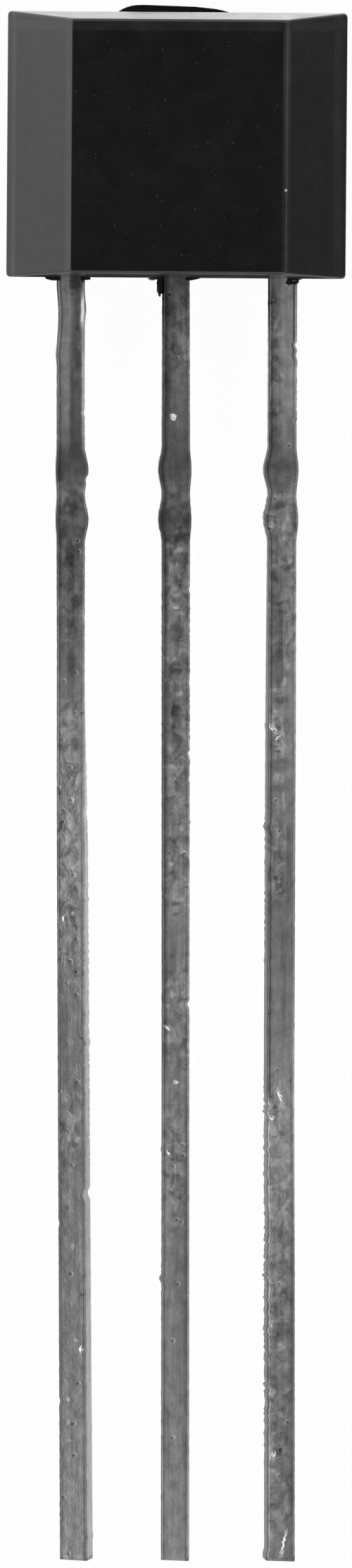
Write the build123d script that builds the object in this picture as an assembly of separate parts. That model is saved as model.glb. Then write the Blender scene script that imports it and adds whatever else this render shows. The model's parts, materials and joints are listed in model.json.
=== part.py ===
from build123d import *
import math
import os

# A three-lead Hall effect switch in a flat in-line plastic package.
#
# Two frames are used, both in millimetres. Every piece is drawn in the device's own frame: X runs
# across the leads, Y runs from the lead tips to the gated end of the body, and Z comes out of the
# marked face. Z = 0 is the mould's parting plane, which is also the front of the lead frame, and
# Y = 0 is where the leads leave the body in that plane. lay_down() then turns the finished device
# onto its back, as it comes to rest on a table: on the lower back edge of the body and a lead tip.

# ---- moulded body ----
body_width = 4.08  # over the two side edges of the parting plane
body_height = 3.19  # from the lead end to the gated end, in the parting plane
front_depth = 0.77  # parting plane to marked face
back_depth = 0.75  # parting plane to back face
chamfer_angle = 44.2  # how far each flank of the marked face leans back
front_end_draft = 5.5  # mould draft on the two ends of the front half
back_end_draft = 5.0  # and of the back half
back_side_draft = 3.0  # mould draft on the sides of the back half
mould_radius = 0.045  # of every outer edge but the sharp parting edge
body_turn = 0.40  # degrees that the body stands clockwise of its leads, which give with handling

# ---- marks that the mould leaves ----
# how far the broken-off resin inlet stands out of the gated end, at places across the body
gate_break = [(-0.70, 0.0), (-0.59, 0.055), (-0.25, 0.074), (0.10, 0.065), (0.50, 0.030), (0.62, 0.0)]
gate_drop = 0.30  # from the parting plane back to the inlet
gate_depth = 0.26  # of the inlet
ejector_diameter = 1.00  # round recess where the ejector pin pushed on the back
ejector_depth = 0.03
flash_thickness = 0.16  # of the resin that crept out beside the leads, behind their front
flash_film = 0.015  # of the same resin where it laps over a lead's front
flash_flare = 0.02  # that a sliver widens by at the body

# ---- lead frame ----
lead_pitch = 1.27
lead_thickness = 0.38
lead_width = 0.335
lead_edge_radius = 0.03
lead_length = 15.47  # from the body to the cut tips
blade_length = 3.30  # flat part next to the body, with the cut tie bar's roots
bar_distance = 2.61  # body to the middle of the tie bar that joined the leads
bar_root_length = 0.59  # each side of that middle
anchor = 0.10  # how far the rounded blade runs on inside the body
notch_radius = 0.07  # half-round bites that lock the leads into the resin
notch_rise = 0.42
bond_pad_height = 0.78
bond_pad_drop = 0.38  # of its middle below the die's middle
bond_pad_step = 0.03  # how far it stands out from its lead towards the paddle
side_cover = 0.35  # of resin outside the bond pads
pad_corner = 0.08

# ---- die, its adhesive and the paddle that carries it ----
die_size = 1.06
die_thickness = 0.25
attach_thickness = 0.02
attach_margin = 0.05  # of adhesive that shows round the die
paddle_margin = 0.14  # of bare paddle beside and above the adhesive
ground_ledge = 0.49  # of bare paddle below the adhesive, where the ground wire lands
paddle_cover = 0.45  # of resin between the paddle and the gated end
paddle_width = die_size + 2 * (attach_margin + paddle_margin)
paddle_height = ground_ledge + die_size + 2 * attach_margin + paddle_margin
paddle_rise = body_height - paddle_cover - paddle_height  # of its lower edge above the lead end
die_rise = paddle_rise + ground_ledge + attach_margin + die_size / 2  # of the die's middle

# ---- bond wires ----
wire_diameter = 0.03
ball_radius = 0.045  # of the pressed ball at the wire's start
ball_height = 0.04
loop_corner = 0.03  # cut off each way where the wire turns over the die
loop_rise = 0.17  # of the wire above the die
stitch_length = 0.10  # of the wire pressed onto its pad
terminal_inset = 0.09  # of the die's own terminals from its edges

# ---- what differs from lead to lead ----
# place: leads counted from the middle. width: at the body. roots: what is left of the tie bar on
# the left and right. tip: how far it leans to the right from handling, and its twist in degrees,
# where a positive twist turns the front to the left. bends: distance from the body, lean and twist
# of any place between where these change. longer: where the tip was cut.
# flash: (side, width, length, width at the end, lap over the lead's front) of each sliver of resin
# at the body.
leads = {
    "supply_lead": dict(
        place=-1,
        width=0.330,
        roots=(0.012, 0.045),
        bends=[(6.60, 0.030, 9.0)],
        tip=(0.080, 14.0),
        longer=0.0,
        flash=[(-1, 0.12, 0.030, 0.05, 0.04), (1, 0.06, 0.025, 0.02, 0.04)],
    ),
    "ground_lead": dict(
        place=0,
        width=0.320,
        roots=(0.043, 0.018),
        bends=[],
        tip=(0.006, 3.5),
        longer=0.0,
        flash=[(-1, 0.062, 0.190, 0.045, 0.0), (1, 0.10, 0.030, 0.02, 0.04)],
    ),
    "output_lead": dict(
        place=1,
        width=0.340,
        roots=(0.052, 0.025),
        bends=[(5.10, 0.004, -4.0)],
        tip=(0.0, -5.0),
        longer=0.030,
        flash=[(1, 0.035, 0.075, 0.005, 0.10)],
    ),
}


def rise(depth, angle):
    """How far a face that leans by angle moves over depth."""
    return depth * math.tan(math.radians(angle))


# ---- body ----
def body_plan():
    """The body's section square to the leads: flat back, drafted sides, flanks leaning to the face."""
    half = body_width / 2
    front = half - rise(front_depth, chamfer_angle)
    back = half - rise(back_depth, back_side_draft)
    return Polyline(
        (-half, 0), (-front, front_depth), (front, front_depth), (half, 0),
        (back, -back_depth), (-back, -back_depth), (-half, 0),
    )


def body_side():
    """The body's section along the leads: both ends drafted away from the parting plane."""
    front = rise(front_depth, front_end_draft)
    back = rise(back_depth, back_end_draft)
    return Polyline(
        (0, 0), (front, front_depth), (body_height - front, front_depth), (body_height, 0),
        (body_height - back, -back_depth), (back, -back_depth), (0, 0),
    )


def shell():
    """The body's outer form, where the two sections cross, with its mould radii."""
    across = extrude(Plane.XZ * make_face(body_plan()), amount=-body_height)
    along = extrude(Plane.YZ * make_face(body_side()), amount=body_width / 2, both=True)
    solid = across & along
    moulded_edges = solid.edges().filter_by(lambda edge: abs(edge.center().Z) > mould_radius)
    return fillet(moulded_edges, mould_radius)


def gate_remnant():
    """The stub where the resin inlet broke off, behind the parting plane."""
    outline = Spline(*[(place, body_height + height) for place, height in gate_break])
    root = body_height - 2 * rise(gate_drop + gate_depth, back_end_draft)
    (start, _), (end, _) = gate_break[0], gate_break[-1]
    base = Polyline(outline @ 1, (end, root), (start, root), outline @ 0)
    return Pos(0, 0, -gate_drop) * extrude(make_face(outline + base), amount=-gate_depth)


def ejector_mark():
    """The shallow disc that the ejector pin left in the back face."""
    spot = Pos(0, body_height / 2, -back_depth)
    return spot * Cylinder(ejector_diameter / 2, 2 * ejector_depth)


def flash_sliver(lead, side, width, length, end_width, lap):
    """A torn wedge of resin that crept out along one side of a lead, lapping over its front."""
    edge = lead["place"] * lead_pitch + side * lead["width"] / 2
    inner = edge - side * lap
    outer = edge + side * width
    root = 2 * rise(flash_thickness, back_end_draft)
    flare = min(flash_flare, length / 2)
    outline = Polyline(
        (inner, root), (outer + side * flare, root), (outer + side * flare, 0), (outer, -flare),
        (edge + side * end_width, -length), (inner, -length), (inner, root),
    )
    return Pos(0, 0, flash_film) * extrude(make_face(outline), amount=-flash_film - flash_thickness)


# ---- leads ----
def root_edge(side, width):
    """One side of the blade past the tie bar: two swells, where the bar was cut, and a neck between."""
    x = side * lead_width / 2
    upper = bar_root_length - bar_distance
    lower = -bar_root_length - bar_distance
    return Spline(
        (x, upper),
        (x + side * width, upper - bar_root_length / 2),
        (x, -bar_distance),
        (x + side * width, lower + bar_root_length / 2),
        (x, lower),
        tangents=((0, -1), (0, -1)),
    )


def blade(lead):
    """The flat stretch from just inside the body to below the cut tie bar, its long edges rolled."""
    left, right = root_edge(-1, lead["roots"][0]), root_edge(1, lead["roots"][1])
    top = lead["width"] / 2
    half = lead_width / 2
    above = Polyline(left @ 0, (-top, anchor), (top, anchor), right @ 0)
    below = Polyline(left @ 1, (-half, -blade_length), (half, -blade_length), right @ 1)
    solid = extrude(make_face(above + right + below + left), amount=-lead_thickness)
    ends = (anchor, -blade_length)
    long_edges = [
        edge
        for edge in solid.edges().filter_by(Axis.Z, reverse=True)
        if all(abs(edge.center().Y - end) > 0.001 for end in ends)
    ]
    return fillet(long_edges, lead_edge_radius)


def shank(lead):
    """The long stretch down to the cut tip, which leans and twists a little."""
    outline = Rot(90, 0, 0) * RectangleRounded(lead_width, lead_thickness, lead_edge_radius)
    tip = (lead_length + lead["longer"], *lead["tip"])
    sections = []
    for distance, lean, twist in [(blade_length, 0, 0), *lead["bends"], tip]:
        spot = Pos(lean, -distance, -lead_thickness / 2) * Rot(0, -twist, 0)
        sections.append((spot * outline).face())
    return loft(sections, ruled=True)


def stem(lead, top):
    """The stretch inside the body, up to top, with the bites that lock it into the resin."""
    x = lead["place"] * lead_pitch
    strip = Pos(x, (anchor + top) / 2) * Rectangle(lead["width"], top - anchor)
    for side in (-1, 1):
        strip -= Pos(x + side * lead["width"] / 2, notch_rise) * Circle(notch_radius)
    return strip


def bond_pad_middle():
    """How far the bond pads' middles lie from the device's middle, and how wide they are."""
    inner = lead_pitch - lead_width / 2 - bond_pad_step
    outer = body_width / 2 - side_cover
    return (inner + outer) / 2, outer - inner


def bond_pad(lead):
    """The widened end that a wire is bonded to, beside the paddle."""
    middle, width = bond_pad_middle()
    spot = Pos(lead["place"] * middle, die_rise - bond_pad_drop)
    return spot * RectangleRounded(width, bond_pad_height, pad_corner)


def paddle():
    """The plate in the middle of the body that carries the die."""
    spot = Pos(0, paddle_rise + paddle_height / 2)
    return spot * RectangleRounded(paddle_width, paddle_height, pad_corner)


def stamped_lead(lead):
    """One lead from its end inside the body to its cut tip."""
    if lead["place"]:
        inside = stem(lead, die_rise - bond_pad_drop) + bond_pad(lead)
    else:
        inside = stem(lead, paddle_rise + pad_corner) + paddle()
    outside = Pos(lead["place"] * lead_pitch, 0, 0) * (blade(lead) + shank(lead))
    return extrude(inside, amount=-lead_thickness) + outside


# ---- die, adhesive and wires ----
def die_attach():
    """The thin bed of adhesive between the paddle and the die."""
    side = die_size + 2 * attach_margin
    bed = Rectangle(side, side)
    return Pos(0, die_rise, 0) * extrude(bed, amount=attach_thickness)


def sensor_die():
    """The silicon chip that holds the Hall element and its circuit."""
    return Pos(0, die_rise, attach_thickness) * extrude(
        Rectangle(die_size, die_size), amount=die_thickness
    )


def bond_wire(start, end):
    """A gold wire from a ball on the die at start to a pressed stitch on the lead frame at end."""
    die_top = attach_thickness + die_thickness
    crest = die_top + loop_rise
    past_die = terminal_inset + wire_diameter
    lying = wire_diameter / 4
    run = math.dist(start, end)
    route = Plane.XZ * Polyline(
        (0, die_top),
        (0, crest - loop_corner),
        (loop_corner, crest),
        (past_die, crest),
        (run - stitch_length, lying),
        (run, lying),
    )
    section = Plane(route @ 0, z_dir=route % 0) * Circle(wire_diameter / 2)
    wire = sweep(section, path=route, transition=Transition.RIGHT)
    upwards = (Align.CENTER, Align.CENTER, Align.MIN)
    wire &= Box(3 * run, 1, 1, align=upwards)
    ball = Pos(0, 0, die_top) * Cone(ball_radius, wire_diameter / 2, ball_height, align=upwards)
    heading = math.degrees(math.atan2(end[1] - start[1], end[0] - start[0]))
    return Pos(start[0], start[1], 0) * Rot(0, 0, heading) * (wire + ball)


def bond_wires():
    """The three wires: one to each outer lead's pad and one down to the paddle."""
    reach = die_size / 2 - terminal_inset
    pad_middle, _ = bond_pad_middle()
    wires = {}
    for side, name in ((-1, "bond_wire_supply"), (1, "bond_wire_output")):
        terminal = (side * reach, die_rise - reach / 2)
        wires[name] = bond_wire(terminal, (side * pad_middle, die_rise - bond_pad_drop))
    ground_spot = (0, paddle_rise + ground_ledge / 2)
    wires["bond_wire_ground"] = bond_wire((0, die_rise - reach), ground_spot)
    return wires


# ---- the whole device ----
def moulded_body(inner):
    """The resin body: its outer form, less everything that it was moulded round."""
    body = Rot(0, 0, -body_turn) * (shell() + gate_remnant() - ejector_mark())
    for lead in leads.values():
        for sliver in lead["flash"]:
            body += flash_sliver(lead, *sliver)
    for piece in inner.values():
        body -= piece
    return body


def rest_tilt():
    """How far the device tips over its lower back edge until the first lead tip touches down."""
    draft = math.radians(back_end_draft)
    edge_z = mould_radius - back_depth
    edge_y = (mould_radius - edge_z * math.sin(draft)) / math.cos(draft)
    tilts = []
    for lead in leads.values():
        turn = math.radians(abs(lead["tip"][1]))
        flat = lead_thickness / 2 - lead_edge_radius
        side = lead_width / 2 - lead_edge_radius
        drop = flat * math.cos(turn) + side * math.sin(turn) + lead_edge_radius
        tip_y = -lead_length - lead["longer"]
        tip_z = -lead_thickness / 2 - drop
        slope = math.atan2(tip_z - edge_z, edge_y - tip_y)
        span = math.dist((edge_y, edge_z), (tip_y, tip_z))
        tilts.append(slope + math.asin(mould_radius / span))
    return math.degrees(min(tilts))


def lay_down(pieces):
    """Every piece turned onto the device's back, with the origin on the table below its middle."""
    tilted = {name: Rot(rest_tilt(), 0, 0) * piece for name, piece in pieces.items()}
    box = Compound(list(tilted.values())).bounding_box()
    to_table = Pos(-box.center().X, -box.center().Y, -box.min.Z)
    return {name: to_table * piece for name, piece in tilted.items()}


def device():
    """Every piece of the device, by name."""
    inner = {name: stamped_lead(lead) for name, lead in leads.items()}
    inner["die_attach"] = die_attach()
    inner["sensor_die"] = sensor_die()
    inner |= bond_wires()
    return lay_down({"moulded_body": moulded_body(inner)} | inner)


os.makedirs("parts", exist_ok=True)
for name, piece in device().items():
    export_step(piece, f"parts/{name}.step")
    print(f"{name}: {piece.volume:.5f} mm3")
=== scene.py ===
import json
import math

import bmesh
import bpy
from mathutils import Matrix, Vector, noise


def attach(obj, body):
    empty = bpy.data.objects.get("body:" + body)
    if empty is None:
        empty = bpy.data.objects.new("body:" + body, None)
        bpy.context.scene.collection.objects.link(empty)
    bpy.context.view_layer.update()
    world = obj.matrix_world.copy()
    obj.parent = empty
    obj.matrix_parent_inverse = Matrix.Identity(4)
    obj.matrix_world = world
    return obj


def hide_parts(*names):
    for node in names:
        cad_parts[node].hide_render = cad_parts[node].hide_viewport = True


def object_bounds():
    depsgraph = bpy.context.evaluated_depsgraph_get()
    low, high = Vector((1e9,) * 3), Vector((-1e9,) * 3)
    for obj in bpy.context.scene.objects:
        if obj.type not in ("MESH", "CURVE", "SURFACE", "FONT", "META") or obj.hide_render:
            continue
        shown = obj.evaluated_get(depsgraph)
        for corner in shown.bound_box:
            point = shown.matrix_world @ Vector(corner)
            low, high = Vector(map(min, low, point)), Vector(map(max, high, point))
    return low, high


# A flat three-lead Hall effect switch, lying on its back on a pale table.
# Everything is in metres. Lengths in the dictionaries are in millimetres, in the device's own axes:
# x across the leads, y from the lead tips to the gated end, z out of the marked face,
# with y = 0 where the leads leave the body and z = 0 on the front of the lead frame.

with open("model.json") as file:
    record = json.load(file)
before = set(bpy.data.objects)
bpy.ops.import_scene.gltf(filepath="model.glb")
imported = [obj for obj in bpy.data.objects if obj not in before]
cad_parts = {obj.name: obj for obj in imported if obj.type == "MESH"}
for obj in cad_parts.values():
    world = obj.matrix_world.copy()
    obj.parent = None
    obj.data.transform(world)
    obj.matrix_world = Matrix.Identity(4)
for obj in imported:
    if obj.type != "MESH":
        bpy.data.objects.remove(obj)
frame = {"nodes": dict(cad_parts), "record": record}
cadLow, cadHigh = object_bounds()
mm = 0.001
mounts = {mount["name"]: mount for mount in frame["record"]["mounts"]}
print("frame loaded:", len(frame["nodes"]), "nodes")


# The device and its own axes.
device = {
    "bodyWidth": 4.08,  # over the parting edges
    "bodyHeight": 3.19,  # along the leads
    "bodyTurn": 0.40,  # degrees that the body stands clockwise of its leads
    "leadPitch": 1.27,
    "leadLength": 15.47,
    "leadWidth": 0.335,
    "leadThickness": 0.38,
}


def deviceAxes():
    up = Vector(mounts["sensing_face"]["axis"]).normalized()
    along = -Vector(mounts["lead_row"]["axis"]).normalized()
    turn = Matrix((along.cross(up), along, up)).transposed().to_4x4()
    tips = Vector((0, -device["leadLength"], -device["leadThickness"] / 2)) * mm
    origin = Vector(mounts["lead_row"]["pos_m"]) - turn @ tips
    return Matrix.Translation(origin) @ turn


fromDevice = deviceAxes()
toDevice = fromDevice.inverted()


# Small helpers.
noiseRange = (0.3, 0.7)  # nearly all of a noise pattern lies between these
softly = {"interpolation_type": "SMOOTHSTEP"}


def linearColor(hexText):
    parts = [int(hexText[i:i + 2], 16) / 255 for i in (1, 3, 5)]
    return tuple(c / 12.92 if c <= 0.04045 else ((c + 0.055) / 1.055) ** 2.4 for c in parts) + (1,)


def setInputs(tree, node, inputs):
    # by name or in the node's own order; a node stands for its first output
    pairs = inputs.items() if isinstance(inputs, dict) else enumerate(inputs)
    for socket, value in pairs:
        if isinstance(value, bpy.types.Node):
            value = value.outputs[0]
        if isinstance(value, bpy.types.NodeSocket):
            tree.links.new(value, node.inputs[socket])
        else:
            node.inputs[socket].default_value = value


def addNode(tree, kind, inputs=(), **settings):
    node = tree.nodes.new("ShaderNode" + kind)
    for name, value in settings.items():
        setattr(node, name, value)
    setInputs(tree, node, inputs)
    return node


def newMaterial(name, roughness, metallic=0.0, ior=1.5):
    material = bpy.data.materials.new(name)
    material.use_nodes = True
    tree = material.node_tree
    shader = tree.nodes["Principled BSDF"]
    setInputs(tree, shader, {"Roughness": roughness, "Metallic": metallic, "IOR": ior})
    spot = addNode(tree, "Mapping", {  # millimetres on the device's own axes
        "Vector": addNode(tree, "TexCoord").outputs["Object"],
        "Location": toDevice.translation / mm,
        "Rotation": toDevice.to_euler(),
        "Scale": (1 / mm, 1 / mm, 1 / mm),
    })
    return material, tree, shader, spot


def stretched(tree, spot, size, shift=(0, 0, 0), turn=0.0):
    # the same place with each axis counted in pattern sizes
    moved = addNode(tree, "Mapping", {"Vector": spot, "Location": [-s for s in shift]})
    turned = addNode(tree, "Mapping", {"Vector": moved, "Rotation": (0, 0, math.radians(turn))})
    return addNode(tree, "Mapping", {"Vector": turned, "Scale": [1 / s for s in size]})


def softStrip(tree, value, low, high, soft):
    # 1 between low and high, fading to 0 over soft on either side
    rising = addNode(tree, "MapRange", [value, low - soft, low + soft], **softly)
    falling = addNode(tree, "MapRange", [value, high - soft, high + soft, 1.0, 0.0], **softly)
    return addNode(tree, "Math", [rising, falling], operation="MULTIPLY")


def dotsOf(tree, cells, edge, share):
    # a dot in each cell whose own number lies above share
    dots = addNode(tree, "MapRange", [cells.outputs["Distance"], *edge])
    chosen = addNode(tree, "MapRange", [cells.outputs["Color"], *share])
    return addNode(tree, "Math", [dots, chosen], operation="MULTIPLY")


def reliefOf(tree, *parts):
    # from patterns and the millimetres that each stands out
    height = 0.0
    for part, deep in parts:
        height = addNode(tree, "Math", [part, deep, height], operation="MULTIPLY_ADD")
    return addNode(tree, "Bump", {"Height": height, "Strength": 1.0, "Distance": mm})


def setMaterial(obj, material):
    obj.data.materials.clear()
    obj.data.materials.append(material)


def finishPiece(name, bm, material, sharpAngle=None):
    mesh = bpy.data.meshes.new(name)
    bm.to_mesh(mesh)
    bm.free()
    if sharpAngle:
        mesh.shade_smooth()
        mesh.set_sharp_from_angle(angle=math.radians(sharpAngle))
    obj = bpy.data.objects.new(name, mesh)
    bpy.context.scene.collection.objects.link(obj)
    setMaterial(obj, material)
    return obj


# Tinned leads.
leadShape = {
    "edgeRadius": 0.03,
    "edgeSteps": 4,
    "barDistance": 2.61,  # body to the middle of the cut tie bar
    "rootLength": 0.59,  # of each of its two roots
    "anchor": 0.10,  # depth inside the body at which the stem starts
    "notch": (0.42, 0.07),  # place and radius of the bites that lock the lead in the resin
    "padCorner": 0.08,
    "padStep": 0.0005,  # length over which the stem widens to the pad
    "ringSpacing": 0.03,  # of the mesh's rings, which stand closer in the bites and corners
    "notchAngle": 20,
    "cornerAngles": (0, 30, 50, 70, 90),
    "columns": (-0.118, -0.1, -0.06, -0.02, 0.02, 0.06, 0.1, 0.118),
    "sideRows": (-0.10, 0.0, 0.10),
    "ragged": 0.0035,  # unevenness of the long edges
    "raggedNoise": (0.09, 0.035, 0.6),  # coarse and fine size, and the fine one's share
    "raggedPlace": (5, 9, 0),  # in the noise: steps between the sides, and shift of the seed
    "raggedFade": 0.1,  # length below the body over which it starts
    "tornNoise": (0.05, 0.028, 0.7),  # of a burr's teeth
    "tornPlace": (3, 7, 50),
    "burrFade": 0.3,
    "wavy": 0.0022,  # unevenness of the faces
    "wavyNoise": ((0.12, 0.22), (0.05, 0.07), 0.5),  # coarse, fine, each across and along
    "wavyFade": 0.15,
    "rollFade": 0.2,
    "rollCurve": 1.1,  # 1 is a straight slope
    "shearRoll": 0.012,  # the cutter pulled the front edge of the tip down by this
    "shearReach": 0.06,
    "shearSlant": 0.04,  # slope of the cut across the tip
    "slantReach": 0.3,
    "sharpAngle": 50,  # degrees from which an edge is drawn sharp
}
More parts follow.
